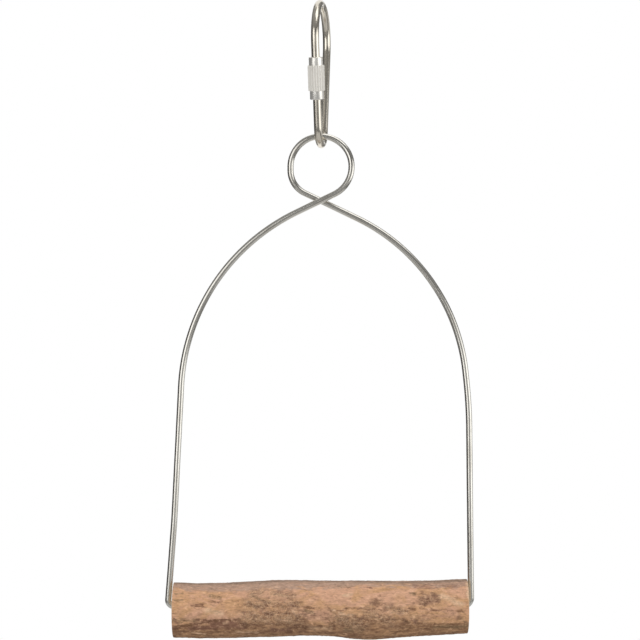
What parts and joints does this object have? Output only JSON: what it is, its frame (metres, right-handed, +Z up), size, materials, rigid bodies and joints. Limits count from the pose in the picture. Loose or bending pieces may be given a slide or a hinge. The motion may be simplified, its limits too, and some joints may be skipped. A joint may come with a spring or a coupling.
{
  "type": "bird swing",
  "caption": "Bird swing: a natural wood perch on a bent wire arch, hung by its crossed ring from a pear-shaped screw link.",
  "frame": {"origin": "the hanging saddle: the inside top of the screw link, where it rests on a bar", "axes": "+Z up; +X along the perch, to the right as the picture shows it; +Y away from the picture's camera"},
  "size_m": [0.1236, 0.0318, 0.2554],
  "materials": {
    "link_wire": "bright nickel plate",
    "sleeve": "satin nickel plate, fluted grip",
    "arch_wire": "nickel-plated drawn wire",
    "branch": "rough, partly peeled bark"
  },
  "bodies": {
    "link": {"screw_link": "link_wire"},
    "sleeve": {"lock_sleeve": "sleeve"},
    "arch": {"arch_wire": "arch_wire"},
    "perch": {"perch": "branch"}
  },
  "joints": [
    {"name": "arch_swing", "type": "hinge", "parent": "link", "child": "arch", "pos_m": [0, 0, -0.05115], "axis": [1, 0, 0], "range_deg": [-135, 135]},
    {"name": "perch_turn", "type": "hinge", "parent": "arch", "child": "perch", "pos_m": [0, 0, -0.23905], "axis": [1, 0, 0], "continuous": true},
    {"name": "sleeve_travel", "type": "slide", "parent": "link", "child": "sleeve", "axis": [0.0337, 0.2037, -0.9784], "range_m": [0, 0.0107]}
  ]
}
